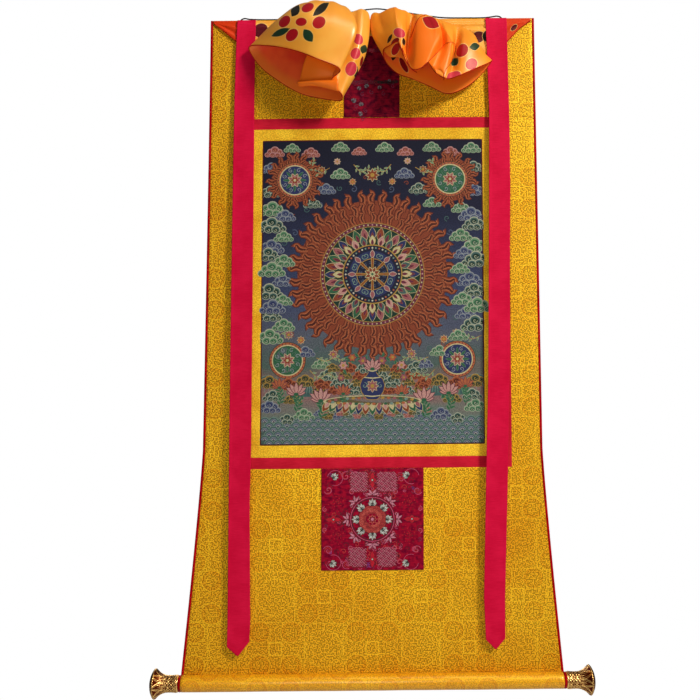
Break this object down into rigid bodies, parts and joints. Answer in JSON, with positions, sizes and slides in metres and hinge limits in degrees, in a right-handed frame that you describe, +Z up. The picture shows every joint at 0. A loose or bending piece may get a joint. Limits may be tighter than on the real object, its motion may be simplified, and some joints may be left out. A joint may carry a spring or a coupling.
{
  "type": "thangka scroll painting",
  "caption": "Hung scroll painting: painted cloth in framed brocade mounting, gathered silk cover, hanging ribbons, wrapped roller with knobs and a hanging cord.",
  "frame": {"origin": "the top of the hanging cord, where it is hung", "axes": "+Z up along the hung cloth, +X to the viewer's right, and -Y out of the painted front"},
  "size_m": [0.7738, 0.1033, 1.2439],
  "materials": {
    "gold_brocade": "yellow-gold damask silk with a tone-on-tone weave",
    "crimson_cloth": "crimson silk, plain, slightly lustrous",
    "crimson_ribbon": "crimson silk ribbon, soft satin sheen",
    "yellow_cloth": "yellow silk, plain, slightly lustrous",
    "painted_cloth": "fine cloth painted in mineral colours, matte",
    "red_brocade": "crimson brocade with silver and coral figures",
    "red_binding": "deep red corded edge binding",
    "cover_silk": "amber silk satin, printed with ovals and leaves",
    "chased_brass": "chased brass, darkened in the recesses",
    "dark_cord": "thin dark cord"
  },
  "bodies": {
    "root": {"brocade_top": "gold_brocade", "brocade_left": "gold_brocade", "brocade_right": "gold_brocade", "brocade_bottom": "gold_brocade", "red_strip_top": "crimson_cloth", "red_strip_foot": "crimson_cloth", "red_strip_left": "crimson_cloth", "red_strip_right": "crimson_cloth", "yellow_strip_top": "yellow_cloth", "yellow_strip_foot": "yellow_cloth", "yellow_strip_left": "yellow_cloth", "yellow_strip_right": "yellow_cloth", "painting": "painted_cloth", "patch_upper": "red_brocade", "patch_lower": "red_brocade", "binding_left": "red_binding", "binding_right": "red_binding", "ribbon_left": "crimson_ribbon", "ribbon_right": "crimson_ribbon", "silk_cover": "cover_silk", "roller": "gold_brocade", "roller_ring_left": "red_binding", "roller_ring_right": "red_binding", "knob_left": "chased_brass", "knob_right": "chased_brass", "hanging_cord": "dark_cord"}
  },
  "joints": []
}
